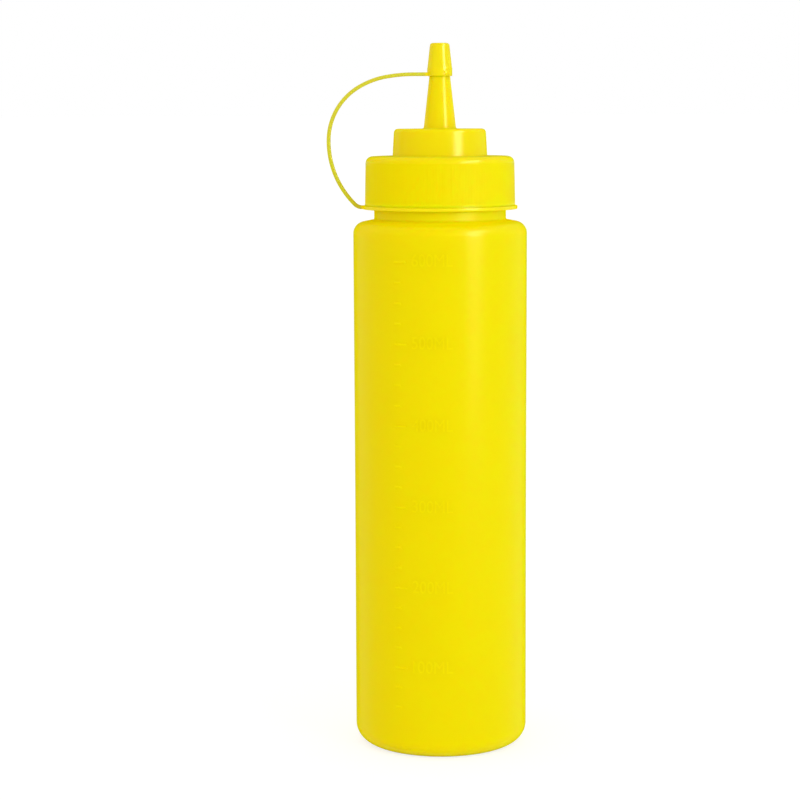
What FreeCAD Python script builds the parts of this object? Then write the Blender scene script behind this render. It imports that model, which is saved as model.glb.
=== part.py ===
"""A sauce squeeze bottle: bottle, screw lid with its nozzle, and a tethered tip cap.

A parametric document in millimetres, +Z up, with the origin at the centre of the base.
The bottle stands upright and shut. Its front faces -Y, and the tether bows out to -X.
"""

import FreeCAD, Part
import math
import os
import Sketcher

# Driving dimensions: alias, value, meaning. Heights are measured from the piece below.
SIZES = [
    ("body_diameter", 67.6, "outside of the bottle's wall"),
    ("shoulder_height", 205.6, "base to the wall's sharp top corner"),
    ("shoulder_rise", 1.6, "wall's top corner to the neck's foot"),
    ("shoulder_radius", 4.5, "rounding of the shoulder"),
    ("base_radius", 7.3, "rounding of the base's rim"),
    ("foot_ring_width", 3.0, "flat ring that the bottle stands on"),
    ("push_up", 2.5, "depth of the hollow under the base"),
    ("push_up_slope", 6.0, "width of the hollow's sloping side"),
    ("push_up_radius", 1.5, "rounding inside the hollow's corner"),
    ("shoulder_width", 8.16, "outside of the neck to the outside of the wall"),
    ("neck_root_radius", 0.6, "hollow rounding where the neck leaves the shoulder"),
    ("neck_show", 4.0, "neck left bare between the shoulder and the tether's ring"),
    ("neck_clearance", 0.3, "radial play of the neck in the lid"),
    ("skirt_wall", 3.26, "thickness of the lid's skirt at its foot, room for the thread included"),
    ("skirt_height", 19.0, "tether's ring to the top of the skirt"),
    ("skirt_draft", 0.38, "radius that the skirt loses up its height"),
    ("skirt_radius", 2.6, "rounding of the skirt's top rim"),
    ("lid_roof", 1.8, "thickness of the lid above the neck's lip"),
    ("tier_diameter", 36.74, "raised tier at its foot"),
    ("tier_height", 10.55, "top of the skirt to the top of the tier"),
    ("tier_draft", 0.6, "radius that the tier loses up its height"),
    ("tier_radius", 1.45, "rounding of the tier's top rim"),
    ("tier_root_radius", 0.5, "hollow rounding at the tier's foot"),
    ("nozzle_root_diameter", 12.56, "nozzle where it leaves the tier"),
    ("nozzle_root_radius", 0.8, "hollow rounding at the nozzle's foot"),
    ("nozzle_tip_diameter", 5.56, "nozzle at its tip"),
    ("nozzle_length", 31.0, "top of the tier to the nozzle's tip"),
    ("cap_overlap", 10.9, "length of nozzle that the tip cap covers"),
    ("cap_wall", 1.05, "tip cap's wall"),
    ("cap_clearance", 0.05, "radial play of the tip cap on the nozzle"),
    ("cap_tip_play", 0.3, "nozzle's tip to the tip cap's ceiling"),
    ("cap_roof", 1.5, "tip cap's top"),
    ("cap_top_radius", 0.95, "rounding of the tip cap's top rim"),
    ("cap_foot_bevel", 0.5, "bevel round the tip cap's foot"),
    ("ring_overhang", 0.9, "tether's ring beyond the skirt's foot"),
    ("ring_width", 2.7, "tether's ring, bore to outer edge"),
    ("ring_thickness", 1.4, "tether's ring and its band, top to bottom"),
    ("ring_clearance", 0.1, "radial play of the ring on the lid's spigot"),
    ("band_width", 4.0, "tether's band across its flat"),
    ("band_lift", 0.1, "tip cap's foot to the band's underside"),
    ("band_top_radius", 60.0, "band's bend as it leaves the tip cap"),
    ("band_top_turn", 10.0, "degrees turned by that bend"),
    ("band_arch_radius", 32.0, "band's bend at the upper arch"),
    ("band_arch_turn", 20.0, "degrees turned by the upper arch"),
    ("band_elbow_radius", 24.0, "band's bend at the upper left"),
    ("band_elbow_turn", 58.5, "degrees turned at the upper left"),
    ("band_root_radius", 4.0, "tight bend that brings the band into the ring"),
    ("band_root_turn", 45.0, "degrees turned by the tight bend"),
    ("band_root", 0.2, "straight end of the band beside the ring"),
]

doc = FreeCAD.newDocument("SqueezeBottle")
sheet = doc.addObject("Spreadsheet::Sheet", "sizes")
for row, (alias, size, meaning) in enumerate(SIZES, start=1):
    sheet.set(f"A{row}", meaning)
    sheet.set(f"B{row}", str(size))
    sheet.setAlias(f"B{row}", alias)
doc.recompute()

# Radii and heights that several pieces share, as expressions on the sheet.
WALL = "sizes.body_diameter / 2"
NECK = f"{WALL} - sizes.shoulder_width"
SOCKET = f"{NECK} + sizes.neck_clearance"
NECK_FOOT = "sizes.shoulder_height + sizes.shoulder_rise"
RING_UNDERSIDE = f"{NECK_FOOT} + sizes.neck_show"
RING_TOP = f"{RING_UNDERSIDE} + sizes.ring_thickness"
SKIRT_TOP = f"{RING_TOP} + sizes.skirt_height"
CEILING = f"{SKIRT_TOP} - sizes.lid_roof"
TIER_TOP = f"{SKIRT_TOP} + sizes.tier_height"
NOZZLE_TIP = f"{TIER_TOP} + sizes.nozzle_length"
CAP_FOOT = f"{NOZZLE_TIP} - sizes.cap_overlap"
CAP_CEILING = f"{NOZZLE_TIP} + sizes.cap_tip_play"
CAP_TOP = f"{CAP_CEILING} + sizes.cap_roof"
SKIRT = f"{SOCKET} + sizes.skirt_wall"
RING_OUTER = f"{SKIRT} + sizes.ring_overhang"
RING_BORE = f"{RING_OUTER} - sizes.ring_width"
SPIGOT = f"{RING_BORE} - sizes.ring_clearance"
BAND_UNDERSIDE = f"{CAP_FOOT} + sizes.band_lift"
NOZZLE_ROOT = "sizes.nozzle_root_diameter / 2"
NOZZLE_TAPER = f"({NOZZLE_ROOT} - sizes.nozzle_tip_diameter / 2) / sizes.nozzle_length"


def value(expression):
    """Return what an expression on the sheet comes to."""
    return float(sheet.evalExpression(expression))


def nozzle_radius(height):
    """Return the expression for the nozzle's radius at a height, carried on past its tip."""
    return f"{NOZZLE_ROOT} - ({NOZZLE_TAPER}) * (({height}) - ({TIER_TOP}))"


def bind(sketch, kind, *places, to):
    """Add a dimension to a sketch and bind it to an expression on the sheet."""
    number = sketch.addConstraint(Sketcher.Constraint(kind, *places, value(to)))
    sketch.setExpression(f"Constraints[{number}]", to)


def pin(sketch, edge, end, across, up):
    """Fix one end of an edge at a place, given as expressions from the sketch's origin."""
    for kind, place in (("DistanceX", across), ("DistanceY", up)):
        if value(place) < 0:
            bind(sketch, kind, edge, end, -1, 1, to=f"-({place})")
        else:
            bind(sketch, kind, -1, 1, edge, end, to=place)


def new_sketch(body, name, plane):
    """Start a sketch on one of a body's own origin planes."""
    sketch = body.newObject("Sketcher::SketchObject", name)
    support = next(item for item in body.Origin.OriginFeatures if item.Role == plane)
    sketch.AttachmentSupport = [(support, "")]
    sketch.MapMode = "FlatFace"
    return sketch


def outline(body, name, corners, plane="XZ_Plane"):
    """Draw a closed outline through corners that are pairs of expressions."""
    sketch = new_sketch(body, name, plane)
    points = [FreeCAD.Vector(value(across), value(up), 0) for across, up in corners]
    count = len(points)
    for edge in range(count):
        sketch.addGeometry(Part.LineSegment(points[edge], points[(edge + 1) % count]))
    for edge, (across, up) in enumerate(corners):
        sketch.addConstraint(Sketcher.Constraint("Coincident", edge, 2, (edge + 1) % count, 1))
        pin(sketch, edge, 1, across, up)
    return sketch


def revolve(body, name, corners, kind="PartDesign::Revolution"):
    """Turn an outline about the upright axis, as material or as a groove."""
    sketch = outline(body, name + "Outline", corners)
    feature = body.newObject(kind, name)
    feature.Profile = sketch
    feature.ReferenceAxis = (sketch, ["V_Axis"])
    feature.Angle = 360
    sketch.Visibility = False
    doc.recompute()
    return feature


def round_rim(body, name, size, radius, height):
    """Round the circular edge of a given radius and height on the body's last feature."""
    base = body.Tip
    wanted = (value(radius), value(height))
    rims = [
        f"Edge{number}"
        for number, edge in enumerate(base.Shape.Edges, start=1)
        if isinstance(edge.Curve, Part.Circle)
        and math.dist(wanted, (edge.Curve.Radius, edge.Curve.Center.z)) < 1e-4
    ]
    feature = body.newObject("PartDesign::Fillet", name)
    feature.Base = (base, rims)
    feature.Radius = value(size)
    feature.setExpression("Radius", size)
    doc.recompute()


def make_bottle():
    """Blown bottle, shut and full to its lip: a round wall, a low shoulder and a plain neck."""
    body = doc.addObject("PartDesign::Body", "Bottle")
    body.Label = "bottle"
    foot_inside = f"{WALL} - sizes.base_radius - sizes.foot_ring_width"
    hollow = f"{foot_inside} - sizes.push_up_slope"
    revolve(body, "Blow", [
        ("0", "sizes.push_up"),
        (hollow, "sizes.push_up"),
        (foot_inside, "0"),
        (WALL, "0"),
        (WALL, "sizes.shoulder_height"),
        (NECK, NECK_FOOT),
        (NECK, CEILING),
        ("0", CEILING),
    ])
    round_rim(body, "BaseRim", "sizes.base_radius", WALL, "0")
    round_rim(body, "Shoulder", "sizes.shoulder_radius", WALL, "sizes.shoulder_height")
    round_rim(body, "NeckRoot", "sizes.neck_root_radius", NECK, NECK_FOOT)
    round_rim(body, "PushUpCorner", "sizes.push_up_radius", hollow, "sizes.push_up")
    return body


def make_lid():
    """Screw lid: a skirt round the neck, a raised tier and a tapered nozzle, in one moulding.

    A spigot under the skirt carries the tether's ring. The roof lands on the neck's lip.
    """
    body = doc.addObject("PartDesign::Body", "Lid")
    body.Label = "lid"
    skirt_top = f"{SKIRT} - sizes.skirt_draft"
    tier = "sizes.tier_diameter / 2"
    tier_top = f"{tier} - sizes.tier_draft"
    revolve(body, "Moulding", [
        (SOCKET, RING_UNDERSIDE),
        (SPIGOT, RING_UNDERSIDE),
        (SPIGOT, RING_TOP),
        (SKIRT, RING_TOP),
        (skirt_top, SKIRT_TOP),
        (tier, SKIRT_TOP),
        (tier_top, TIER_TOP),
        (NOZZLE_ROOT, TIER_TOP),
        ("sizes.nozzle_tip_diameter / 2", NOZZLE_TIP),
        ("0", NOZZLE_TIP),
        ("0", CEILING),
        (SOCKET, CEILING),
    ])
    round_rim(body, "SkirtRim", "sizes.skirt_radius", skirt_top, SKIRT_TOP)
    round_rim(body, "TierRoot", "sizes.tier_root_radius", tier, SKIRT_TOP)
    round_rim(body, "TierRim", "sizes.tier_radius", tier_top, TIER_TOP)
    round_rim(body, "NozzleRoot", "sizes.nozzle_root_radius", NOZZLE_ROOT, TIER_TOP)
    return body


def band_path(body):
    """Draw the band's middle line: level out of the cap, round five tangent bends, level in.

    The turns add up to half a circle. The side bend's radius is whatever drops the band
    from the cap to the ring, and the first run is whatever brings it to the ring's edge.
    """
    start_level = f"{BAND_UNDERSIDE} + sizes.ring_thickness / 2"
    end_level = f"{RING_UNDERSIDE} + sizes.ring_thickness / 2"
    end = f"{RING_OUTER} - sizes.ring_width / 2"
    last_run = "sizes.band_root + sizes.ring_width / 2"
    bends = ["top", "arch", "elbow", "side", "root"]
    radii = {bend: sheet.get(f"band_{bend}_radius") for bend in bends if bend != "side"}
    turns = {bend: math.radians(sheet.get(f"band_{bend}_turn")) for bend in radii}
    turns["side"] = math.pi - sum(turns.values())

    # Headings before and after each bend, from due -X round to due +X.
    headings = {}
    heading = math.pi
    for bend in bends:
        headings[bend] = (heading, heading + turns[bend])
        heading += turns[bend]
    rise = {bend: math.cos(a) - math.cos(b) for bend, (a, b) in headings.items()}
    across = {bend: math.sin(b) - math.sin(a) for bend, (a, b) in headings.items()}
    others = sum(radii[bend] * rise[bend] for bend in radii)
    radii["side"] = (value(end_level) - value(start_level) - others) / rise["side"]
    swing = sum(radii[bend] * across[bend] for bend in bends)
    first_run = value(end) + value(last_run) + swing

    sketch = new_sketch(body, "BandPath", "XZ_Plane")
    start = FreeCAD.Vector(0, value(start_level), 0)
    here = start - FreeCAD.Vector(first_run, 0, 0)
    sketch.addGeometry(Part.LineSegment(start, here))
    for bend in bends:
        before, after = headings[bend]
        radius = radii[bend]
        centre = here + FreeCAD.Vector(-math.sin(before), math.cos(before), 0) * radius
        circle = Part.Circle(centre, FreeCAD.Vector(0, 0, 1), radius)
        sketch.addGeometry(Part.ArcOfCircle(circle, before - math.pi / 2, after - math.pi / 2))
        here = centre + FreeCAD.Vector(math.sin(after), -math.cos(after), 0) * radius
    inside_ring = here + FreeCAD.Vector(value(last_run), 0, 0)
    sketch.addGeometry(Part.LineSegment(here, inside_ring))

    last = len(bends) + 1
    for edge in range(last):
        sketch.addConstraint(Sketcher.Constraint("Tangent", edge, 2, edge + 1, 1))
    sketch.addConstraint(Sketcher.Constraint("Horizontal", 0))
    sketch.addConstraint(Sketcher.Constraint("Horizontal", last))
    pin(sketch, 0, 1, "0", start_level)
    pin(sketch, last, 2, f"-({end})", end_level)
    bind(sketch, "DistanceX", last, 1, last, 2, to=last_run)
    for edge, bend in enumerate(bends, start=1):
        if bend != "side":
            bind(sketch, "Radius", edge, to=f"sizes.band_{bend}_radius")
            turn = sketch.addConstraint(Sketcher.Constraint("Angle", edge, turns[bend]))
            sketch.setExpression(f"Constraints[{turn}]", f"sizes.band_{bend}_turn * 1 deg")
    print("band: first run %.2f, side radius %.2f" % (first_run, radii["side"]))
    return sketch


def make_tip_cap():
    """Tip cap with its tether: a sleeve over the nozzle, a band, and a ring on the lid."""
    body = doc.addObject("PartDesign::Body", "TipCap")
    body.Label = "tip_cap"
    revolve(body, "Ring", [
        (RING_BORE, RING_UNDERSIDE),
        (RING_OUTER, RING_UNDERSIDE),
        (RING_OUTER, RING_TOP),
        (RING_BORE, RING_TOP),
    ])

    path = band_path(body)
    half = "sizes.band_width / 2"
    upper_side = f"{BAND_UNDERSIDE} + sizes.ring_thickness"
    section = outline(body, "BandSection", [
        (f"-{half}", BAND_UNDERSIDE),
        (half, BAND_UNDERSIDE),
        (half, upper_side),
        (f"-{half}", upper_side),
    ], plane="YZ_Plane")
    doc.recompute()
    band = body.newObject("PartDesign::AdditivePipe", "Band")
    band.Profile = section
    band.Spine = path
    for sketch in (path, section):
        sketch.Visibility = False
    doc.recompute()

    bore_foot = f"{nozzle_radius(CAP_FOOT)} + sizes.cap_clearance"
    bore_end = f"{nozzle_radius(CAP_CEILING)} + sizes.cap_clearance"
    outer_foot = f"{bore_foot} + sizes.cap_wall"
    outer_top = f"{nozzle_radius(CAP_TOP)} + sizes.cap_clearance + sizes.cap_wall"
    revolve(body, "Sleeve", [
        ("0", CAP_FOOT),
        (f"{outer_foot} - sizes.cap_foot_bevel", CAP_FOOT),
        (outer_foot, f"{CAP_FOOT} + sizes.cap_foot_bevel"),
        (outer_top, CAP_TOP),
        ("0", CAP_TOP),
    ])
    round_rim(body, "SleeveTop", "sizes.cap_top_radius", outer_top, CAP_TOP)
    revolve(body, "Bore", [
        ("0", CAP_FOOT),
        (bore_foot, CAP_FOOT),
        (bore_end, CAP_CEILING),
        ("0", CAP_CEILING),
    ], kind="PartDesign::Groove")
    return body


def check(bodies):
    """Stop if anything in the document failed or a sub-part isn't one valid solid."""
    for item in doc.Objects:
        if {"Invalid", "Error"} & set(item.State):
            raise RuntimeError(f"{item.Name} failed: {item.State}")
    for body in bodies:
        shape = body.Shape
        if shape.isNull() or not shape.isValid() or len(shape.Solids) != 1:
            raise RuntimeError(f"{body.Label} isn't one valid solid")


bodies = [make_bottle(), make_lid(), make_tip_cap()]
doc.recompute()
check(bodies)

os.makedirs("parts", exist_ok=True)
for body in bodies:
    body.Shape.exportStep(f"parts/{body.Label}.step")
    box = body.Shape.optimalBoundingBox(False)
    print(
        "%-8s %8.1f mm3  x %.2f..%.2f  y %.2f..%.2f  z %.2f..%.2f"
        % (body.Label, body.Shape.Volume, box.XMin, box.XMax, box.YMin, box.YMax, box.ZMin, box.ZMax)
    )
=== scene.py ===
# %% [markdown]
# # A sauce squeeze bottle in Blender
#
# A kitchen squeeze bottle is three mouldings in one yellow plastic: a tall blown bottle, a
# ribbed screw lid with a tapered nozzle, and a small cap that hangs on the lid by a strap.
# The solid model fixes every size. This notebook rebuilds each moulding as a clean mesh,
# adds the fine relief that the solid model leaves plain, and gives each its plastic.

# %% Open the frame
import math
import bmesh
import bpy
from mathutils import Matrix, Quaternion, Vector


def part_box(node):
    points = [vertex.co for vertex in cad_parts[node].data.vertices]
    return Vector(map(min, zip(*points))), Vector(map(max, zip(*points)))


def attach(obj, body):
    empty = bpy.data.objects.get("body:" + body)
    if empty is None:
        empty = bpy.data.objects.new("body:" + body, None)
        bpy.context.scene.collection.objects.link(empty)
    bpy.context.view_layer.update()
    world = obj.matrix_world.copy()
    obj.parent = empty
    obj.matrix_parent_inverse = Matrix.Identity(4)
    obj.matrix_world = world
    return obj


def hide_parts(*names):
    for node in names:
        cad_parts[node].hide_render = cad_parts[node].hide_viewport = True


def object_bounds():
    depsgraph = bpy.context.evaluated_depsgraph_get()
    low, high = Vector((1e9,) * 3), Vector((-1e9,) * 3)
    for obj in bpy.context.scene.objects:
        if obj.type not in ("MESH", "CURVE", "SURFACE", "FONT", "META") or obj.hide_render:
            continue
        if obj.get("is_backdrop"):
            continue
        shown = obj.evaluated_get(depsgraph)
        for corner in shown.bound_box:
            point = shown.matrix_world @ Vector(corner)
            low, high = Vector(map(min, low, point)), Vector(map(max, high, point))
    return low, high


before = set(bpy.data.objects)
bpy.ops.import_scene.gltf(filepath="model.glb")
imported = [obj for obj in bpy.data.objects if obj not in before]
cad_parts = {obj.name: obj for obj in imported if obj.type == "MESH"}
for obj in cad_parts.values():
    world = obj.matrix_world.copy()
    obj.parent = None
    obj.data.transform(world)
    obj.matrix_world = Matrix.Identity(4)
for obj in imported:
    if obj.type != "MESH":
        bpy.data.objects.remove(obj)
cad_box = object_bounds()
MM = 0.001
bottle_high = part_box("bottle")[1]
lid_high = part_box("lid")[1]
cap_low, cap_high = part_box("tip_cap")
print("bottle %.1f mm wide, lid %.1f mm wide, cap top at %.1f mm" % (
    2 * bottle_high.x / MM, 2 * lid_high.x / MM, cap_high.z / MM))

# %% [markdown]
# ## The camera
#
# A camera is a place and a direction. This one stands in front of the bottle, a little above
# its shoulder, and looks slightly down. It turns a touch to its left, which puts the bottle
# right of the middle, and it rolls by a quarter of a degree. The lens is long, so the sides
# of the bottle stay nearly parallel.

# %% Stand the camera
CAMERA_DISTANCE = 892 * MM
CAMERA_HEIGHT = 248 * MM
LOOK_DOWN, LOOK_LEFT, ROLL = (math.radians(angle) for angle in (7.14, 1.02, -0.24))
SENSOR, LENS = 36, 102.9

bpy.ops.object.select_all(action="DESELECT")
bpy.ops.object.camera_add(location=(0, -CAMERA_DISTANCE, CAMERA_HEIGHT))
camera = bpy.context.object
camera.name = "camera"
camera.data.sensor_width = SENSOR
camera.data.lens = LENS
camera.rotation_mode = "QUATERNION"
facing = Quaternion((0, 0, 1), LOOK_LEFT) @ Quaternion((1, 0, 0), math.radians(90) - LOOK_DOWN)
camera.rotation_quaternion = facing @ Quaternion((0, 0, 1), ROLL)
bpy.context.scene.camera = camera
print("camera %.0f mm away, looking %.1f degrees down" % (
    CAMERA_DISTANCE / MM, math.degrees(LOOK_DOWN)))

# %% [markdown]
# ## Working by hand, in code
#
# Modelling by hand is a few moves again and again: pick some faces or edges, then inset,
# extrude, widen or round them. By hand, picking is a click. In code it is a test on where
# a corner, edge or face lies. These helpers do the picking and name the moves, so that the
# modelling cells read like a list of what a modeller would do.

# %% Helpers that pick
def leave_edit_mode():
    """Go back to object mode with nothing selected."""
    if bpy.context.object and bpy.context.object.mode != "OBJECT":
        bpy.ops.object.mode_set(mode="OBJECT")
    bpy.ops.object.select_all(action="DESELECT")


def pick(kind, test):
    """In edit mode, pick the corners, edges or faces that pass a test."""
    bpy.ops.mesh.select_mode(type=kind)
    bpy.ops.mesh.select_all(action="DESELECT")
    mesh = bmesh.from_edit_mesh(bpy.context.object.data)
    parts = {"VERT": mesh.verts, "EDGE": mesh.edges, "FACE": mesh.faces}[kind]
    for part in parts:
        part.select_set(test(part))
    mesh.select_flush_mode()
    bmesh.update_edit_mesh(bpy.context.object.data)


def near(value, wanted):
    """Tell whether a length is the wanted one, to a hundredth of a millimetre."""
    return abs(value - wanted) < 0.01 * MM


def across(point):
    """Return how far a point stands from the upright axis."""
    return math.hypot(point.x, point.y)


def pick_flat(height):
    """Pick the level faces at one height."""
    def test(face):
        return abs(face.normal.z) > 0.99 and near(face.calc_center_median().z, height)
    pick("FACE", test)


def pick_loop(radius, height):
    """Pick the level loop of edges at a radius and height."""
    def test(edge):
        return all(near(across(v.co), radius) and near(v.co.z, height) for v in edge.verts)
    pick("EDGE", test)

# %% Helpers that shape
def widen(factor):
    """Scale what is picked about the upright axis."""
    bpy.ops.transform.resize(value=(factor, factor, 1), center_override=(0, 0, 0))


def rise(height):
    """Move what is picked up, or down if the height is negative."""
    bpy.ops.transform.translate(value=(0, 0, height))


def draw_out(height):
    """Extrude what is picked up, or down if the height is negative."""
    bpy.ops.mesh.extrude_region_move(TRANSFORM_OT_translate={"value": (0, 0, height)})


def step(from_radius, to_radius):
    """Inset the picked round face, and bring its new edge from one radius to another."""
    bpy.ops.mesh.inset(thickness=0)
    widen(to_radius / from_radius)


def round_loop(radius, height, corner, turn=90, segments=6):
    """Round a level loop to a corner radius, where the outline turns by so many degrees."""
    pick_loop(radius, height)
    reach = corner * math.tan(math.radians(turn) / 2)
    bpy.ops.mesh.bevel(offset=reach, segments=segments, affect="EDGES", clamp_overlap=False)


def slice_level(*heights):
    """Cut the whole mesh level at each height, which adds loops and moves nothing."""
    for height in heights:
        bpy.ops.mesh.select_all(action="SELECT")
        bpy.ops.mesh.bisect(plane_co=(0, 0, height), plane_no=(0, 0, 1))


def round_block(name, sides, radius, low, high):
    """Start a piece as a plain round block between two heights, and enter edit mode."""
    leave_edit_mode()
    bpy.ops.mesh.primitive_cylinder_add(
        vertices=sides, radius=radius, depth=high - low, location=(0, 0, (low + high) / 2))
    block = bpy.context.object
    block.name = name
    bpy.ops.object.transform_apply(location=True, rotation=False, scale=False)
    bpy.ops.object.mode_set(mode="EDIT")
    return block


def close_up(piece, smooth_under=35):
    """Merge doubles, face outwards, and shade smooth except over sharp corners."""
    leave_edit_mode()
    piece.select_set(True)
    bpy.context.view_layer.objects.active = piece
    bpy.ops.object.mode_set(mode="EDIT")
    bpy.ops.mesh.select_all(action="SELECT")
    bpy.ops.mesh.remove_doubles(threshold=0.001 * MM)
    bpy.ops.mesh.select_all(action="SELECT")
    bpy.ops.mesh.normals_make_consistent(inside=False)
    mesh = bmesh.from_edit_mesh(piece.data)
    gaps = sum(not edge.is_manifold for edge in mesh.edges)
    bpy.ops.object.mode_set(mode="OBJECT")
    bpy.ops.object.shade_smooth_by_angle(angle=math.radians(smooth_under))
    print("%s: %d faces, %d open edges" % (piece.name, len(piece.data.polygons), gaps))


def weld(piece, other):
    """Unite another closed mesh with a piece, and remove the other."""
    leave_edit_mode()
    piece.select_set(True)
    bpy.context.view_layer.objects.active = piece
    union = piece.modifiers.new("weld", "BOOLEAN")
    union.operation = "UNION"
    union.solver = "EXACT"
    union.object = other
    bpy.ops.object.modifier_apply(modifier="weld")
    bpy.data.objects.remove(other, do_unlink=True)

# %% [markdown]
# ## The bottle
#
# A blown bottle is one thin skin with soft corners: a straight wall, a broad rounded base
# round a hollow, a low shoulder and a plain neck. It could be spun from a drawn outline.
# Starting from a cylinder needs fewer typed points: inset and lift its top for the shoulder
# and neck, inset its base for the hollow, and then round the loops that blowing rounds.

# %% Shape the bottle
WALL = bottle_high.x
NECK = 25.64 * MM
SHOULDER, SHOULDER_RISE = 205.6 * MM, 1.6 * MM
NECK_LIP = bottle_high.z
BASE_CORNER, FOOT_RING = 7.3 * MM, 3 * MM
HOLLOW_EDGE = WALL - BASE_CORNER - FOOT_RING
HOLLOW_SLOPE, HOLLOW_DEPTH = 6 * MM, 2.5 * MM
HOLLOW = HOLLOW_EDGE - HOLLOW_SLOPE

bottle = round_block("bottle_body", 256, WALL, 0, SHOULDER)
pick_flat(SHOULDER)
step(WALL, NECK)
rise(SHOULDER_RISE)
draw_out(NECK_LIP - SHOULDER - SHOULDER_RISE)
pick_flat(0)
step(WALL, HOLLOW_EDGE)
step(HOLLOW_EDGE, HOLLOW)
rise(HOLLOW_DEPTH)
print("hollow %.1f mm deep, %.1f mm across" % (HOLLOW_DEPTH / MM, 2 * HOLLOW / MM))

# %% Round its corners
shoulder_turn = 90 - math.degrees(math.atan(SHOULDER_RISE / (WALL - NECK)))
hollow_turn = math.degrees(math.atan(HOLLOW_DEPTH / (HOLLOW_EDGE - HOLLOW)))
SHOULDER_CORNER, NECK_CORNER, HOLLOW_CORNER = 4.5 * MM, 0.6 * MM, 1.5 * MM

round_loop(WALL, SHOULDER, SHOULDER_CORNER, shoulder_turn, segments=14)
round_loop(NECK, SHOULDER + SHOULDER_RISE, NECK_CORNER, shoulder_turn, segments=4)
round_loop(WALL, 0, BASE_CORNER, segments=18)
round_loop(HOLLOW_EDGE, 0, HOLLOW_CORNER, hollow_turn, segments=4)
round_loop(HOLLOW, HOLLOW_DEPTH, HOLLOW_CORNER, hollow_turn, segments=4)
print("shoulder turns %.0f degrees" % shoulder_turn)

# %% [markdown]
# The wall isn't dead straight. Plastic shrinks as it cools, and the middle of a blown wall
# draws in by a hair, which bends the reflections that run down it. The wall is cut into
# loops, and each loop is narrowed a little more the nearer it is to the middle.

# %% Draw the wall in at its waist
WAIST = 0.08 * MM
WALL_LOOPS = 36
WALL_FOOT, WALL_TOP = BASE_CORNER, SHOULDER - SHOULDER_CORNER


def wall_radius(height):
    """Return the wall's radius at a height, narrowest half way up."""
    share = min(max((height - WALL_FOOT) / (WALL_TOP - WALL_FOOT), 0), 1)
    return WALL - WAIST * math.sin(math.pi * share) ** 2


loops = [WALL_FOOT + (WALL_TOP - WALL_FOOT) * i / WALL_LOOPS for i in range(1, WALL_LOOPS)]
slice_level(*loops)
for height in loops:
    pick_loop(WALL, height)
    widen(wall_radius(height) / WALL)
close_up(bottle)

# %% [markdown]
# ## The capacity scale
#
# A raised scale runs up the front of the bottle: a long mark and a figure at every hundred
# millilitres and a short mark at every quarter. The mould is cut with it, so it stands about
# a quarter of a millimetre proud. It is made flat, as if the wall were unrolled, where typing
# and placing are easy. One bend then wraps it all round the bottle. The figures keep plain
# edges, because rounding such thin letters makes their walls cross each other.

# %% Lay the marks out flat
SCALE_FOOT = 4.72 * MM
HUNDRED = 31.28 * MM
RELIEF, SUNK = 0.27 * MM, 0.25 * MM
TICK_LEFT, SHORT_TICK, LONG_TICK = -18.42 * MM, 2.9 * MM, 5.2 * MM
TICK_THICK, TICK_EDGE, TICK_CUTS = 0.9 * MM, 0.24 * MM, 6
QUARTERS = range(2, 25)


def lay_tick(height, length):
    """Lay one mark flat, with room round its edges and cuts to bend at."""
    leave_edit_mode()
    middle = (TICK_LEFT + length / 2, (SUNK - RELIEF) / 2, height)
    bpy.ops.mesh.primitive_cube_add(size=1, location=middle)
    tick = bpy.context.object
    tick.scale = (length, RELIEF + SUNK, TICK_THICK)
    bpy.ops.object.transform_apply(location=True, rotation=False, scale=True)
    bpy.ops.object.mode_set(mode="EDIT")
    pick("EDGE", lambda edge: all(near(v.co.y, -RELIEF) for v in edge.verts))
    bpy.ops.mesh.bevel(offset=TICK_EDGE, segments=3, affect="EDGES")
    for i in range(1, TICK_CUTS):
        bpy.ops.mesh.select_all(action="SELECT")
        cut = TICK_LEFT + length * i / TICK_CUTS
        bpy.ops.mesh.bisect(plane_co=(cut, 0, 0), plane_no=(1, 0, 0))
    bpy.ops.object.mode_set(mode="OBJECT")
    return tick


marks = []
for quarter in QUARTERS:
    long = quarter % 4 == 0
    marks.append(lay_tick(SCALE_FOOT + HUNDRED * quarter / 4, LONG_TICK if long else SHORT_TICK))
print("%d marks" % len(marks))

# %% [markdown]
# Lettering could be drawn stroke by stroke. Blender's own text object is quicker: it sets
# plain capitals and gives them depth. Its own bevel is left off, because a bevelled letter
# can cross itself in its corners, and then no Boolean can unite it. Each figure becomes a
# mesh before it is stood up and fitted to the width and height that all six share.

# %% Set the figures
FIGURE_LEFT, FIGURE_WIDTH, FIGURE_HEIGHT = -10.9 * MM, 15.6 * MM, 4.7 * MM
FIGURE_LIFT = 0.8 * MM
LETTER_SIZE = 6.4 * MM


def set_figure(words, height):
    """Set one figure as a mesh, upright and facing front, centred just above its mark."""
    leave_edit_mode()
    bpy.ops.object.text_add(rotation=(math.radians(90), 0, 0))
    text = bpy.context.object
    text.data.body = words
    text.data.size = LETTER_SIZE
    text.data.resolution_u = 5
    text.data.extrude = (RELIEF + SUNK) / 2
    bpy.ops.object.convert(target="MESH")
    bpy.ops.object.transform_apply(location=True, rotation=True, scale=True)
    figure = bpy.context.object
    lows = [min(v.co[i] for v in figure.data.vertices) for i in range(3)]
    highs = [max(v.co[i] for v in figure.data.vertices) for i in range(3)]
    stretch = (FIGURE_WIDTH / (highs[0] - lows[0]), (RELIEF + SUNK) / (highs[1] - lows[1]),
               FIGURE_HEIGHT / (highs[2] - lows[2]))
    figure.scale = stretch
    figure.location = (FIGURE_LEFT - lows[0] * stretch[0], SUNK - highs[1] * stretch[1],
                       height + FIGURE_LIFT - FIGURE_HEIGHT / 2 - lows[2] * stretch[2])
    bpy.ops.object.transform_apply(location=True, rotation=False, scale=True)
    return figure


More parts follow.
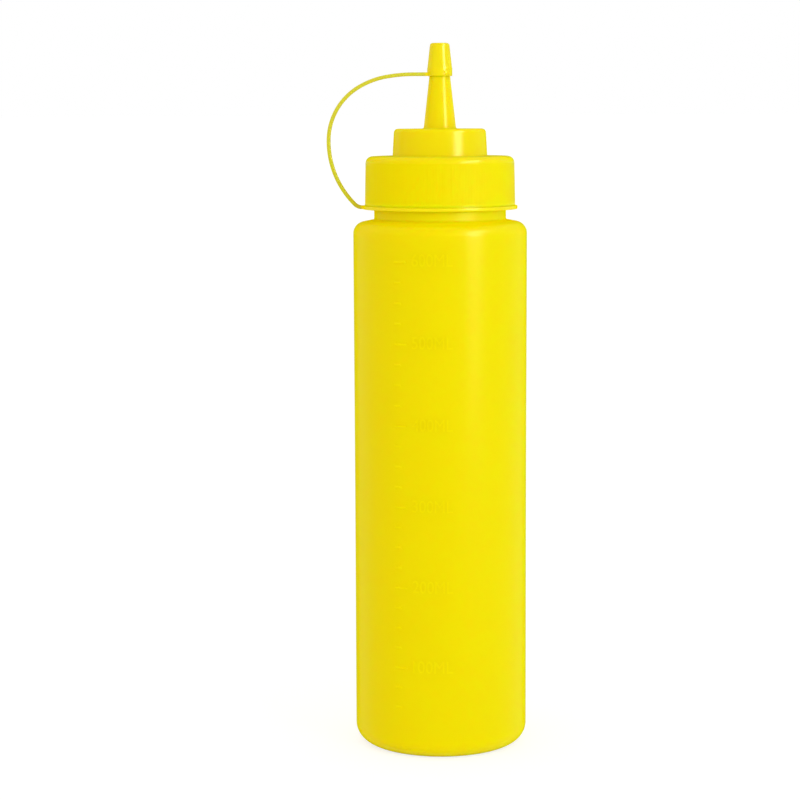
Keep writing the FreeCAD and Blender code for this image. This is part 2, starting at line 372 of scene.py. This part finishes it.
figures = [set_figure("%d00ML" % n, SCALE_FOOT + HUNDRED * n) for n in range(1, 7)]
print("%d figures, %.1f mm tall" % (len(figures), FIGURE_HEIGHT / MM))

# %% [markdown]
# The flat scale is joined and bent once about an upright line. A bend by its own width over
# the wall's radius gives exactly the wall's curve. Each band of the scale is then narrowed
# by the same amount as the wall behind it, so every mark stands equally proud.

# %% Wrap the scale round the wall
leave_edit_mode()
for item in marks + figures:
    item.select_set(True)
bpy.context.view_layer.objects.active = marks[0]
bpy.ops.object.join()
scale = bpy.context.object
scale.name = "capacity_scale"
xs = [v.co.x for v in scale.data.vertices]
bend = scale.modifiers.new("wrap", "SIMPLE_DEFORM")
bend.deform_method = "BEND"
bend.deform_axis = "Z"
bend.angle = (max(xs) - min(xs)) / WALL
bpy.ops.object.modifier_apply(modifier="wrap")
scale.location = (0, -WALL, 0)
bpy.ops.object.transform_apply(location=True, rotation=False, scale=False)
bpy.ops.object.mode_set(mode="EDIT")
for quarter in QUARTERS:
    level = SCALE_FOOT + HUNDRED * quarter / 4
    pick("VERT", lambda corner: abs(corner.co.z - level) < HUNDRED / 8)
    widen(wall_radius(level) / WALL)
close_up(scale, smooth_under=50)
reach = max(across(v.co) for v in scale.data.vertices) - WALL
print("scale stands %.2f mm proud at most" % (reach / MM))

# %% [markdown]
# The scale and the wall are one skin of plastic, so they are united. A Boolean union cuts
# away the back of each mark, which lies sunk in the wall.

# %% Weld the scale on
weld(bottle, scale)
close_up(bottle)

# %% [markdown]
# ## The lid
#
# The lid is turned in shape: a skirt round the neck, a smaller tier on it, and a nozzle that
# tapers to the tip. Fine upright ribs round the skirt give wet fingers a grip. Like the
# bottle it grows out of one cylinder by inset and extrude. The cylinder has four sides to
# each rib, because the ribs are pressed into it afterwards.

# %% Shape the lid
RIBS = 160
SKIRT, SKIRT_DRAFT = lid_high.x, 0.38 * MM
RING_THICK, SKIRT_TALL, TIER_TALL = 1.4 * MM, 19 * MM, 10.55 * MM
RING_FOOT, RING_TOP = cap_low.z, cap_low.z + RING_THICK
SKIRT_TOP = RING_TOP + SKIRT_TALL
TIER, TIER_DRAFT, TIER_TOP = 18.37 * MM, 0.6 * MM, SKIRT_TOP + TIER_TALL
NOZZLE, NOZZLE_TIP, NOZZLE_END = 6.28 * MM, 2.78 * MM, lid_high.z
SPIGOT, SOCKET = 27.3 * MM, 25.94 * MM

lid = round_block("lid_body", 4 * RIBS, SKIRT, RING_TOP, SKIRT_TOP)
pick_flat(SKIRT_TOP)
widen((SKIRT - SKIRT_DRAFT) / SKIRT)
step(SKIRT - SKIRT_DRAFT, TIER)
draw_out(TIER_TOP - SKIRT_TOP)
widen((TIER - TIER_DRAFT) / TIER)
step(TIER - TIER_DRAFT, NOZZLE)
draw_out(NOZZLE_END - TIER_TOP)
widen(NOZZLE_TIP / NOZZLE)
pick_flat(RING_TOP)
step(SKIRT, SPIGOT)
draw_out(RING_FOOT - RING_TOP)
step(SPIGOT, SOCKET)
draw_out(NECK_LIP - RING_FOOT)
print("nozzle %.1f mm long" % ((NOZZLE_END - TIER_TOP) / MM))

# %% Round its rims
SKIRT_RIM, TIER_RIM, TIP_RIM = 2.6 * MM, 1.45 * MM, 0.3 * MM
TIER_ROOT, NOZZLE_ROOT = 0.5 * MM, 0.8 * MM

round_loop(SKIRT - SKIRT_DRAFT, SKIRT_TOP, SKIRT_RIM, segments=8)
round_loop(TIER, SKIRT_TOP, TIER_ROOT, segments=4)
round_loop(TIER - TIER_DRAFT, TIER_TOP, TIER_RIM, segments=6)
round_loop(NOZZLE, TIER_TOP, NOZZLE_ROOT, segments=5)
round_loop(NOZZLE_TIP, NOZZLE_END, TIP_RIM, segments=3)
print("four rims rounded, and the nozzle's tip")

# %% [markdown]
# The ribs are a fine ripple, about a millimetre from crest to crest and a tenth of that deep,
# and they fade out below the rim. A ripple this fine could be a bump in the material, but
# then the skirt's edge would stay a plain line. Here the skirt is cut level at a few heights
# and every fourth column of corners is pressed in, with the columns beside it half as far.
# Two grooves are left out near the front, which leaves the plain stripe of a mould's seam.
#
# Each level is a height above the skirt's foot in millimetres and a share of the full depth.
# Each part of a groove is its place among four columns and its share of the depth.

# %% Press the ribs in
RIB_DEPTH = 0.1 * MM
RIB_LEVELS = [(0.7, 0.0), (1.3, 0.6), (2.0, 1.0), (8.4, 1.0), (14.4, 1.0),
              (15.2, 0.7), (15.8, 0.35), (16.3, 0.0)]
GROOVE = ((2, 1.0), (1, 0.5), (3, 0.5))
SEAM_COLUMN = 8


def column(point):
    """Return which of the lid's upright columns of corners a point is in, from the front."""
    return round(math.atan2(point.x, -point.y) / (2 * math.pi) * 4 * RIBS)


slice_level(*(RING_TOP + rise_by * MM for rise_by, depth in RIB_LEVELS))
for rise_by, depth in RIB_LEVELS:
    for phase, share in GROOVE:
        def in_groove(corner):
            place = column(corner.co)
            if not near(corner.co.z, RING_TOP + rise_by * MM) or across(corner.co) < SPIGOT:
                return False
            return place % 4 == phase and abs(place - SEAM_COLUMN) > 2
        pick("VERT", in_groove)
        widen(1 - RIB_DEPTH * share * depth / SKIRT)
close_up(lid)

# %% [markdown]
# ## The tip cap, its strap and its ring
#
# The small cap, the strap and the ring that holds it on the lid are one moulding. The cap is
# a sleeve over the nozzle's end, with the nozzle's own taper and a slightly wider band round
# its foot. It could be spun from an outline too. It is made like the lid, from a cylinder,
# because the taper then follows from two radii.

# %% Shape the cap
CAP_OVERLAP, CAP_WALL, CAP_PLAY = 10.9 * MM, 1.05 * MM, 0.05 * MM
CAP_TOP, CAP_FOOT = cap_high.z, NOZZLE_END - CAP_OVERLAP
TAPER = (NOZZLE - NOZZLE_TIP) / (NOZZLE_END - TIER_TOP)
BAND_TOP = CAP_FOOT + 3.0 * MM
BAND_PROUD, BAND_SLOPE, BORE_SPARE = 0.06 * MM, 0.15 * MM, 0.3 * MM


def nozzle_radius(height):
    """Return the nozzle's radius at a height."""
    return NOZZLE - TAPER * (height - TIER_TOP)


def cap_radius(height):
    """Return the cap's outer radius at a height, above the band round its foot."""
    return nozzle_radius(height) + CAP_PLAY + CAP_WALL


foot_outer = cap_radius(BAND_TOP) + BAND_PROUD
cap = round_block("tip_cap_sleeve", 96, foot_outer, CAP_FOOT, BAND_TOP)
pick_flat(BAND_TOP)
step(foot_outer, cap_radius(BAND_TOP + BAND_SLOPE))
rise(BAND_SLOPE)
draw_out(CAP_TOP - BAND_TOP - BAND_SLOPE)
widen(cap_radius(CAP_TOP) / cap_radius(BAND_TOP + BAND_SLOPE))
pick_flat(CAP_FOOT)
bore = nozzle_radius(CAP_FOOT) + CAP_PLAY
bore_end = NOZZLE_END + BORE_SPARE
step(foot_outer, bore)
draw_out(bore_end - CAP_FOOT)
widen((nozzle_radius(bore_end) + CAP_PLAY) / bore)
print("cap foot %.2f mm across, bore %.2f mm" % (2 * foot_outer / MM, 2 * bore / MM))

# %% [markdown]
# A small lug stands on the band round the cap's foot, for a thumbnail to push at. It is a
# few faces of the band, drawn out and inset so that its edges slope. The cap's own edges
# are rounded last, when no more faces have to be picked by their place.

# %% Raise the lug and round the cap
LUG_FOOT, LUG_TOP = CAP_FOOT + 0.5 * MM, CAP_FOOT + 2.1 * MM
LUG_FROM, LUG_TO, LUG_PROUD = 24, 50, 0.4 * MM
CAP_RIM, CAP_FOOT_EDGE = 0.95 * MM, 0.4 * MM

slice_level(LUG_FOOT, LUG_TOP)


def on_lug(face):
    """Tell whether a face of the foot band lies where the small lug stands."""
    middle = face.calc_center_median()
    turn = math.degrees(math.atan2(middle.x, -middle.y))
    level = LUG_FOOT < middle.z < LUG_TOP and across(middle) > foot_outer - 0.1 * MM
    return level and LUG_FROM < turn < LUG_TO


pick("FACE", on_lug)
draw_out(0)
widen(1 + LUG_PROUD / foot_outer)
bpy.ops.mesh.inset(thickness=0.2 * MM, depth=0.12 * MM)
round_loop(foot_outer, CAP_FOOT, CAP_FOOT_EDGE, segments=4)
round_loop(foot_outer, BAND_TOP, BAND_SLOPE, segments=2)
round_loop(cap_radius(CAP_TOP), CAP_TOP, CAP_RIM, segments=6)
close_up(cap)

# %% [markdown]
# The strap leaves the cap level, arches over and comes back to the ring. A strap like this
# could follow a curve. Extruding its end and spinning it round one bend centre after another
# gives the same even bends with true thickness, because each spin carries the section round.
# Its first face stands inside the cap's wall, where the weld hides it.

# %% Start the strap inside the cap's wall
STRAP_THICK, STRAP_WIDE, STRAP_EDGE = 1.4 * MM, 4 * MM, 0.35 * MM
STRAP_START = CAP_FOOT + 0.1 * MM
STRAP_INSIDE = 4.35 * MM

leave_edit_mode()
bpy.ops.mesh.primitive_plane_add(size=1, rotation=(0, math.radians(-90), 0))
strap = bpy.context.object
strap.name = "strap"
strap.scale = (STRAP_THICK, STRAP_WIDE, 1)
strap.location = (-STRAP_INSIDE, 0, STRAP_START + STRAP_THICK / 2)
bpy.ops.object.transform_apply(location=True, rotation=True, scale=True)
bpy.ops.object.mode_set(mode="EDIT")
bpy.ops.mesh.select_all(action="SELECT")
bpy.ops.mesh.bevel(offset=STRAP_EDGE, segments=3, affect="VERTICES")
print("strap %.1f by %.1f mm in section" % (STRAP_THICK / MM, STRAP_WIDE / MM))

# %% [markdown]
# Each bend is a radius and a turn. The turns add up to half a circle, because the strap
# leaves the cap to the left and meets the ring to the right. One radius is left open: it is
# the one that makes the strap come down exactly on the ring.

# %% Work out the bends
BENDS = [(60, 10), (32, 20), (24, 58.5), (0, 46.5), (4, 45)]
OPEN_BEND = 3
RING_OUTER, RING_WIDTH = cap_high.x, 2.7 * MM
STRAP_FOOT = 0.2 * MM

turns = [turn for radius, turn in BENDS]
headings = [180 + sum(turns[:i]) for i in range(len(turns) + 1)]
drops = [math.cos(math.radians(a)) - math.cos(math.radians(b))
         for a, b in zip(headings, headings[1:])]
swings = [math.sin(math.radians(b)) - math.sin(math.radians(a))
          for a, b in zip(headings, headings[1:])]
radii = [radius * MM for radius, turn in BENDS]
fall = RING_FOOT - STRAP_START - sum(r * d for r, d in zip(radii, drops))
radii[OPEN_BEND] = fall / drops[OPEN_BEND]
first_run = RING_OUTER + STRAP_FOOT + sum(r * s for r, s in zip(radii, swings))
print("strap turns %.0f degrees, side bend %.2f mm" % (
    headings[-1] - headings[0], radii[OPEN_BEND] / MM))

# %% Draw the strap out
bpy.ops.mesh.select_mode(type="FACE")
bpy.ops.mesh.select_all(action="SELECT")
here = Vector((-STRAP_INSIDE, 0, STRAP_START + STRAP_THICK / 2))
run = Vector((-first_run, 0, here.z)) - here
bpy.ops.mesh.extrude_region_move(TRANSFORM_OT_translate={"value": run})
here = here + run
for heading, radius, turn in zip(headings, radii, turns):
    toward = math.radians(heading + 90)
    centre = here + Vector((math.cos(toward), 0, math.sin(toward))) * radius
    bpy.ops.mesh.spin(steps=max(int(turn / 2), 4), angle=math.radians(turn),
                      center=centre, axis=(0, 1, 0))
    leave = math.radians(heading + turn - 90)
    here = centre + Vector((math.cos(leave), 0, math.sin(leave))) * radius
    print("bend of %.1f mm ends at x %.2f, z %.2f" % (radius / MM, here.x / MM, here.z / MM))
last_run = Vector((STRAP_FOOT + RING_WIDTH / 2, 0, 0))
bpy.ops.mesh.extrude_region_move(TRANSFORM_OT_translate={"value": last_run})
close_up(strap)

# %% [markdown]
# The ring is a flat washer under the lid's skirt. An outline could be spun into it, but its
# section is a plain block, so a cylinder does: both ends are inset and opened, and a bridge
# between the two openings makes the bore.

# %% Turn the ring
RING_BORE = RING_OUTER - RING_WIDTH
RING_TOP_EDGE, RING_FOOT_EDGE = 0.45 * MM, 0.25 * MM

ring = round_block("ring", 256, RING_OUTER, RING_FOOT, RING_TOP)
pick_flat(RING_TOP)
step(RING_OUTER, RING_BORE)
bpy.ops.mesh.delete(type="FACE")
pick_flat(RING_FOOT)
step(RING_OUTER, RING_BORE)
bpy.ops.mesh.delete(type="FACE")
pick("EDGE", lambda edge: edge.is_boundary)
bpy.ops.mesh.bridge_edge_loops()
round_loop(RING_OUTER, RING_TOP, RING_TOP_EDGE, segments=5)
round_loop(RING_OUTER, RING_FOOT, RING_FOOT_EDGE, segments=3)
close_up(ring)

# %% [markdown]
# Cap, strap and ring come out of one mould, so they become one skin. Joining the meshes
# would leave their ends buried in each other. The same Boolean union as for the scale cuts
# those ends away, and its exact solver copes with faces that lie in one plane.

# %% Weld the three into one moulding
weld(cap, strap)
weld(cap, ring)
cap.name = "tip_cap_tether"
close_up(cap, smooth_under=32)

# %% [markdown]
# ## The plastic
#
# All three mouldings are dyed the same strong yellow, but they don't shine alike. Blown
# polyethylene has a satin skin with the faintest ripple, and injected parts copy a polished
# mould. One recipe makes all three: a base colour and a roughness that drift by a shade, a
# fine bump, and light that sinks in and spreads a few millimetres, as it does in polyethylene.
# The reflections fade where the surface turns away, which keeps the yellow deep to its edge.
#
# A material is a tree of nodes. One helper adds a node, makes its settings and fills its
# inputs, either with a value or with a link from another node.

# %% A helper for node trees
def add_node(tree, kind, inputs=None, **settings):
    """Add a node with its settings, and give each input named here its value or link."""
    node = tree.nodes.new(kind)
    for name, value in settings.items():
        setattr(node, name, value)
    for name, value in (inputs or {}).items():
        if isinstance(value, bpy.types.NodeSocket):
            tree.links.new(value, node.inputs[name])
        else:
            node.inputs[name].default_value = value
    return node

# %% Write the recipe for dyed plastic
YELLOW, YELLOW_DEEP = (0.895, 0.737, 0.0), (0.875, 0.717, 0.0)
SHEEN_TINT = (1.0, 0.65, 0.25)
BLEED = (1.0, 0.55, 0.05)
PLASTIC_IOR = 1.5
FADE_START, FADE_END = 0.05, 0.78
DRIFTS_PER_METRE = 38
ROUGH_DRIFT = 0.04


def plastic(name, rough, shine, ripple, ripple_size, deep, depth):
    """Make a dyed plastic with a drifting colour and gloss and a rippled skin."""
    material = bpy.data.materials.new(name)
    material.use_nodes = True
    tree = material.node_tree
    shader = tree.nodes["Principled BSDF"]
    shader.inputs["IOR"].default_value = PLASTIC_IOR
    shader.inputs["Specular Tint"].default_value = (*SHEEN_TINT, 1)
    shader.inputs["Subsurface Weight"].default_value = deep
    shader.inputs["Subsurface Radius"].default_value = BLEED
    shader.inputs["Subsurface Scale"].default_value = depth
    place = add_node(tree, "ShaderNodeTexCoord").outputs["Object"]

    facing = add_node(tree, "ShaderNodeLayerWeight", {"Blend": 0.5})
    fade = {"Value": facing.outputs["Facing"], "From Min": FADE_START, "From Max": FADE_END,
            "To Min": shine, "To Max": 0.0}
    glare = add_node(tree, "ShaderNodeMapRange", fade, interpolation_type="SMOOTHSTEP")
    tree.links.new(glare.outputs["Result"], shader.inputs["Specular IOR Level"])

    patches = {"Vector": place, "Scale": DRIFTS_PER_METRE, "Detail": 3}
    drift = add_node(tree, "ShaderNodeTexNoise", patches).outputs["Fac"]
    shades = {"Factor": drift, "A": (*YELLOW, 1), "B": (*YELLOW_DEEP, 1)}
    colour = add_node(tree, "ShaderNodeMix", shades, data_type="RGBA")
    tree.links.new(colour.outputs["Result"], shader.inputs["Base Color"])
    spread = {"Value": drift, "To Min": rough - ROUGH_DRIFT, "To Max": rough + ROUGH_DRIFT}
    roughness = add_node(tree, "ShaderNodeMapRange", spread)
    tree.links.new(roughness.outputs["Result"], shader.inputs["Roughness"])

    waves = {"Vector": place, "Scale": 1 / ripple_size, "Detail": 2}
    skin = add_node(tree, "ShaderNodeTexNoise", waves).outputs["Fac"]
    bump = add_node(tree, "ShaderNodeBump", {"Strength": 1, "Distance": ripple, "Height": skin})
    tree.links.new(bump.outputs["Normal"], shader.inputs["Normal"])
    print("%s: roughness about %.2f" % (name, rough))
    return material

# %% Mix the three plastics
satin = plastic("blown_satin_yellow", rough=0.22, shine=0.17, ripple=0.010 * MM,
                ripple_size=1.6 * MM, deep=1, depth=3 * MM)
gloss = plastic("moulded_gloss_yellow", rough=0.21, shine=0.25, ripple=0.004 * MM,
                ripple_size=2.5 * MM, deep=1, depth=2 * MM)
soft = plastic("tether_gloss_yellow", rough=0.21, shine=0.42, ripple=0.004 * MM,
               ripple_size=2.5 * MM, deep=0.35, depth=0.8 * MM)

# %% [markdown]
# A few places differ from the rest of their piece. By their place on the bottle, the shaded
# neck and the skirt's foot get painted light, the ring painted light and the thin strap painted
# shade; the raised marks get a painted highlight by how far they stand out; the ribs are made
# dull; and every edge gets a painted olive shade where it leaves the eye. Painting a map could
# do it too, but a height or a distance needs no image and keeps its place when pieces change.
#
# Each change has two halves. An amount says where, from nought to one, and a blend moves one
# socket of the plastic towards a value by that amount.

# %% Helpers that say where
def ramp(tree, source, start, full):
    """Return an amount that rises softly from 0 to 1 as a source goes from start to full."""
    reach = {"Value": source, "From Min": start, "From Max": full}
    climb = add_node(tree, "ShaderNodeMapRange", reach, interpolation_type="SMOOTHSTEP")
    return climb.outputs["Result"]


def where(material, *limits):
    """Return an amount that is 1 where every limit holds: an axis, its start and its full."""
    tree = material.node_tree
    place = add_node(tree, "ShaderNodeTexCoord").outputs["Object"]
    split = add_node(tree, "ShaderNodeSeparateXYZ", {"Vector": place})
    level = add_node(tree, "ShaderNodeVectorMath", {0: place, 1: (1, 1, 0)}, operation="MULTIPLY")
    out = add_node(tree, "ShaderNodeVectorMath", {0: level.outputs["Vector"]}, operation="LENGTH")
    sources = {"X": split.outputs["X"], "Z": split.outputs["Z"], "ACROSS": out.outputs["Value"]}
    amounts = [ramp(tree, sources[axis], start, full) for axis, start, full in limits]
    amount = amounts[0]
    for other in amounts[1:]:
        both = add_node(tree, "ShaderNodeMath", {0: amount, 1: other}, operation="MULTIPLY")
        amount = both.outputs["Value"]
    return amount


def edge_on(material, start, full):
    """Return an amount that grows as the surface turns away from the eye."""
    tree = material.node_tree
    facing = add_node(tree, "ShaderNodeLayerWeight", {"Blend": 0.5})
    return ramp(tree, facing.outputs["Facing"], start, full)


def change(material, socket, value, amount):
    """Blend a socket of the plastic towards a number, or a colour, by an amount."""
    tree = material.node_tree
    target = tree.nodes["Principled BSDF"].inputs[socket]
    kind = "RGBA" if socket == "Base Color" else "FLOAT"
    ends = {"Factor": amount, "A": target.links[0].from_socket, "B": value}
    blend = add_node(tree, "ShaderNodeMix", ends, data_type=kind)
    tree.links.new(blend.outputs["Result"], target)


def tint(material, colour, amount):
    """Blend the base colour of the plastic towards a colour by an amount."""
    change(material, "Base Color", (*colour, 1), amount)

# %% Paint olive shade on the edges
PAINTED_EDGE_SHADE = (0.60, 0.56, 0.02)
EDGE_SHADE_FROM, EDGE_SHADE_FULL = 0.7, 1.0

# Painted shade: each edge darkens towards olive as the surface turns away from the eye.
for material in (satin, gloss, soft):
    tint(material, PAINTED_EDGE_SHADE, edge_on(material, EDGE_SHADE_FROM, EDGE_SHADE_FULL))
print("edges turn olive in 3 plastics")

# %% Paint light on the neck and a highlight on the raised marks
YELLOW_PAINTED_LIGHT, NECK_ROUGH = (1.0, 0.805, 0.0), 0.38
MARK_PAINTED_HIGHLIGHT = (0.92, 0.765, 0.0)

# Painted light: the neck, shaded under the lid, turns a brighter yellow from just above the
# shoulder.
neck = where(satin, ("Z", SHOULDER + 0.2 * MM, SHOULDER + 1.2 * MM))
tint(satin, YELLOW_PAINTED_LIGHT, neck)
change(satin, "Roughness", NECK_ROUGH, neck)
# Painted highlight: the raised marks turn a lighter yellow where they stand out from the wall.
tint(satin, MARK_PAINTED_HIGHLIGHT, where(satin, ("ACROSS", WALL + 0.08 * MM, WALL + 0.20 * MM)))
print("neck tinted from %.1f mm up" % ((SHOULDER + 0.2 * MM) / MM))

# %% Dull the ribs and paint light on the skirt's foot
RIB_ROUGH, RIB_SHINE = 0.55, 0.08

ribbed = where(gloss, ("Z", RING_TOP + 0.2 * MM, RING_TOP + 1.2 * MM),
               ("Z", SKIRT_TOP - 1.8 * MM, SKIRT_TOP - 2.8 * MM))
change(gloss, "Roughness", RIB_ROUGH, ribbed)
change(gloss, "Specular IOR Level", RIB_SHINE, ribbed)
# Painted light: the skirt's foot, in the shaded corner above the ring, turns the same brighter
# yellow.
tint(gloss, YELLOW_PAINTED_LIGHT, where(gloss, ("Z", RING_TOP + 1.8 * MM, RING_TOP + 0.6 * MM)))
print("ribs: roughness %.2f" % RIB_ROUGH)

# %% Paint light on the ring and shade on the strap
RING_PAINTED_LIGHT = (0.92, 0.745, 0.0)
STRAP_PAINTED_SHADE, STRAP_FOOT_PAINTED_SHADE = (0.67, 0.62, 0.04), (0.63, 0.60, 0.02)
OFF_CAP, CLEAR_OF_CAP = -5.4 * MM, -5.7 * MM
FADE_TOP, FADE_FOOT = 246 * MM, 224 * MM

# Painted light: the ring, below its top, turns a brighter yellow.
tint(soft, RING_PAINTED_LIGHT, where(soft, ("Z", RING_TOP + 0.4 * MM, RING_TOP + 0.2 * MM)))
# Painted shade: the strap turns a darker olive away from the cap.
thin = where(soft, ("X", OFF_CAP, CLEAR_OF_CAP),
             ("Z", RING_TOP + 0.1 * MM, RING_TOP + 1.0 * MM))
tint(soft, STRAP_PAINTED_SHADE, thin)
# Painted shade, deeper: the strap's outer run turns darker still lower down.
foot = where(soft, ("X", -RING_OUTER - 0.1 * MM, -RING_OUTER - 0.9 * MM),
             ("Z", FADE_TOP, FADE_FOOT))
tint(soft, STRAP_FOOT_PAINTED_SHADE, foot)
print("strap tinted in 2 steps")

# %% Give each piece its plastic
for piece, material in ((bottle, satin), (lid, gloss), (cap, soft)):
    piece.data.materials.clear()
    piece.data.materials.append(material)
    print("%s wears %s" % (piece.name, material.name))

# %% [markdown]
# ## The studio
#
# Soft light comes from all round, a soft lamp from the front right and a faint one from the
# front, over a plain white floor. A panorama could light it too, but a plain world needs no
# image and each of its levels is one number. It is dimmer round the sides, which shades
# them, and brightest in front. It shows as pure white where the camera or a reflection looks
# straight at it, so the backdrop is clean. The view transform Standard shows the colours as
# they are set.

# %% Light the world
WORLD_TINT = (1, 0.95, 0.9, 1)
WORLD_BEHIND, WORLD_FRONT, WORLD_LIFT = 0.65, 1.05, 0.32


def seen_by(tree, *rays):
    """Return an amount that is 1 for rays of the named kinds."""
    path = add_node(tree, "ShaderNodeLightPath")
    amount = path.outputs[rays[0]]
    for ray in rays[1:]:
        either = {0: amount, 1: path.outputs[ray]}
        amount = add_node(tree, "ShaderNodeMath", either, operation="MAXIMUM").outputs[0]
    return amount


world = bpy.data.worlds.new("studio")
bpy.context.scene.world = world
world.use_nodes = True
tree = world.node_tree
tree.nodes.clear()
ahead = add_node(tree, "ShaderNodeTexCoord").outputs["Generated"]
toward_front = add_node(tree, "ShaderNodeVectorMath", {0: ahead, 1: (0, -1, 0)},
                        operation="DOT_PRODUCT").outputs["Value"]
slope = {"Value": toward_front, "From Min": -1, "To Min": WORLD_BEHIND, "To Max": WORLD_FRONT}
level = add_node(tree, "ShaderNodeMapRange", slope)
lift = {"Value": toward_front, "From Min": -0.5, "From Max": -1, "To Max": WORLD_LIFT}
behind = add_node(tree, "ShaderNodeMapRange", lift, interpolation_type="SMOOTHSTEP")
strength = add_node(tree, "ShaderNodeMath", {0: level.outputs[0], 1: behind.outputs[0]},
                    operation="ADD").outputs[0]
glow = add_node(tree, "ShaderNodeBackground", {"Color": WORLD_TINT, "Strength": strength})
white = add_node(tree, "ShaderNodeBackground", {"Color": (1, 1, 1, 1), "Strength": 1.0})
seen = seen_by(tree, "Is Camera Ray", "Is Glossy Ray", "Is Transmission Ray")
sky = add_node(tree, "ShaderNodeMixShader", {"Fac": seen, 1: glow.outputs[0], 2: white.outputs[0]})
add_node(tree, "ShaderNodeOutputWorld", {"Surface": sky.outputs[0]})
bpy.context.scene.view_settings.view_transform = "Standard"
print("world from %.2f behind to %.2f in front" % (WORLD_BEHIND + WORLD_LIFT, WORLD_FRONT))

# %% [markdown]
# A real soft box lights a thing and shows in it at once. Here the soft light and the
# reflection come from separate lamps, so that each can be tuned alone.
# The key and the fill only light the plastic. Three sheen lamps only reflect in it: two low
# strips draw the long highlights down the lid, nozzle and wall, and a box higher up draws
# the short ones on the shoulder and the lid's rim.

# %% Hang the lamps
LAMP_AWAY = 1.2


def hang_lamp(name, turn, wide, low, high, strength, colour):
    """Hang a soft box at a turn to the right of the front, facing the bottle's axis."""
    leave_edit_mode()
    turn, middle = math.radians(turn), (low + high) / 2
    place = (LAMP_AWAY * math.sin(turn), -LAMP_AWAY * math.cos(turn), middle)
    bpy.ops.object.light_add(type="AREA", location=place)
    lamp = bpy.context.object
    lamp.name = name
    lamp.data.shape = "RECTANGLE"
    lamp.data.size, lamp.data.size_y = wide, high - low
    lamp.data.energy = strength * math.pi * wide * (high - low)
    lamp.data.color = colour
    aim = Vector((0, 0, middle)) - lamp.location
    lamp.rotation_mode = "QUATERNION"
    lamp.rotation_quaternion = aim.to_track_quat("-Z", "Y")
    lamp.visible_camera = False
    print("%s %.2f W" % (name, lamp.data.energy))
    return lamp


for name, turn, wide, low, high, strength, colour in (
    ("soft_key", 38, 0.4, 0.0, 0.7, 4.0, (0.62, 1, 1)),
    ("soft_fill", -8, 0.8, 0.0, 0.8, 0.24, (0.85, 1, 1)),
):
    lamp = hang_lamp(name, turn, wide, low, high, strength, colour)
    lamp.visible_glossy = False
for name, turn, wide, low, high, strength, colour in (
    ("low_sheen_strip", 46, 0.42, 0.0, 0.25, 3.5, (1, 1, 1)),
    ("sheen_strip", 46, 0.42, 0.25, 1.0, 26, (0.75, 0.78, 1)),
    ("high_sheen_box", 60, 0.6, 1.0, 1.7, 26, (0.9, 0.95, 1)),
):
    lamp = hang_lamp(name, turn, wide, low, high, strength, colour)
    lamp.visible_diffuse = False

# %% [markdown]
# The floor lights the bottle as matt white board would. Such a board alone would show as
# light grey. So the camera and reflections see it with a glow of its own, nearly white, and
# still with the bottle's shadow, because a matt share is kept in it.

# %% Lay the floor
FLOOR_SIZE = 400
BOARD, SHADOWED, FLOOR_GLOW = 0.9, 0.35, 0.75

leave_edit_mode()
bpy.ops.mesh.primitive_plane_add(size=FLOOR_SIZE)
floor = bpy.context.object
floor.name = "floor"
paint = bpy.data.materials.new("floor_white")
paint.use_nodes = True
tree = paint.node_tree
tree.nodes.clear()
board = add_node(tree, "ShaderNodeBsdfDiffuse", {"Color": (BOARD, BOARD, BOARD, 1)})
matt = add_node(tree, "ShaderNodeBsdfDiffuse", {"Color": (SHADOWED, SHADOWED, SHADOWED, 1)})
shine = add_node(tree, "ShaderNodeEmission", {"Color": (1, 1, 1, 1), "Strength": FLOOR_GLOW})
bright = add_node(tree, "ShaderNodeAddShader", {0: matt.outputs[0], 1: shine.outputs[0]})
seen = seen_by(tree, "Is Camera Ray", "Is Glossy Ray")
shown = {"Fac": seen, 1: board.outputs[0], 2: bright.outputs[0]}
either = add_node(tree, "ShaderNodeMixShader", shown)
add_node(tree, "ShaderNodeOutputMaterial", {"Surface": either.outputs[0]})
floor.data.materials.append(paint)
floor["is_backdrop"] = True
print("floor %d m wide" % FLOOR_SIZE)

# %% [markdown]
# ## Hang the pieces on their body
#
# Nothing on the bottle moves, so every piece rides on its one body. Each piece stands for a
# part of the solid model, and that part is hidden.

# %% Hang each piece on its body and hide its part
for piece, node in ((bottle, "bottle"), (lid, "lid"), (cap, "tip_cap")):
    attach(piece, "root")
    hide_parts(node)
visual_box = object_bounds()
for name, box in (("solid model", cad_box), ("visual model", visual_box)):
    print("%s: %s to %s mm" % (name, *(tuple(round(c / MM, 2) for c in corner) for corner in box)))
